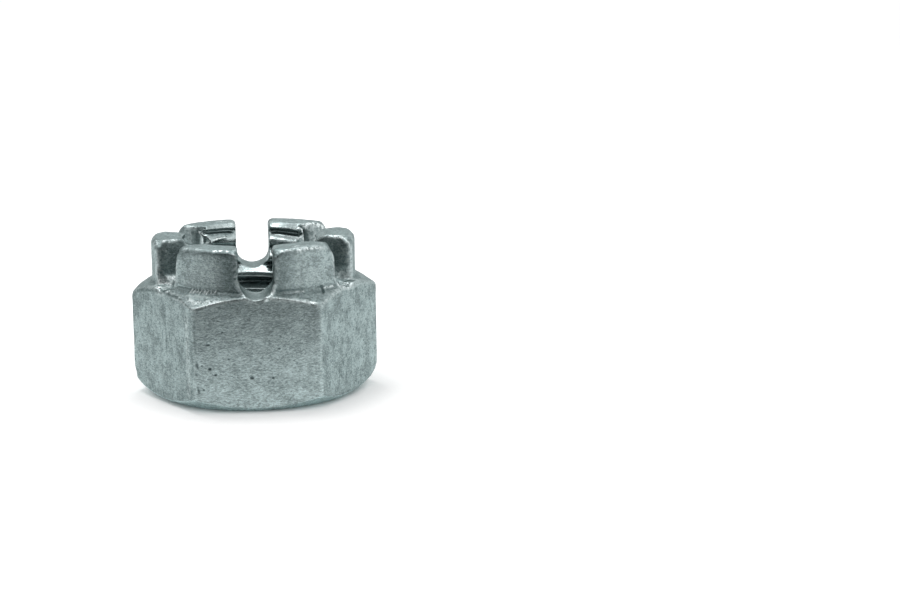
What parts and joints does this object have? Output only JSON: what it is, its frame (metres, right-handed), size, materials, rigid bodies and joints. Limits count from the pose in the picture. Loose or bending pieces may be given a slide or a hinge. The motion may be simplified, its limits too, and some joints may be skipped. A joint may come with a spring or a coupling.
{
  "type": "castle nut",
  "caption": "Galvanised hexagonal castle nut with a conical shoulder, a round crown slotted for a split pin, and a coarse right-hand thread.",
  "frame": {"origin": "centre of the bearing face, on the thread axis", "axes": "+Z along the thread axis, from the bearing face to the crown; +X through a corner of the hexagon; +Y through a flat and its slot"},
  "size_m": [0.0412, 0.036, 0.0266],
  "materials": {
    "zinc": "hot-dip galvanised, dull spangled zinc with a fine grain"
  },
  "bodies": {
    "root": {"castle_nut": "zinc"}
  },
  "joints": []
}
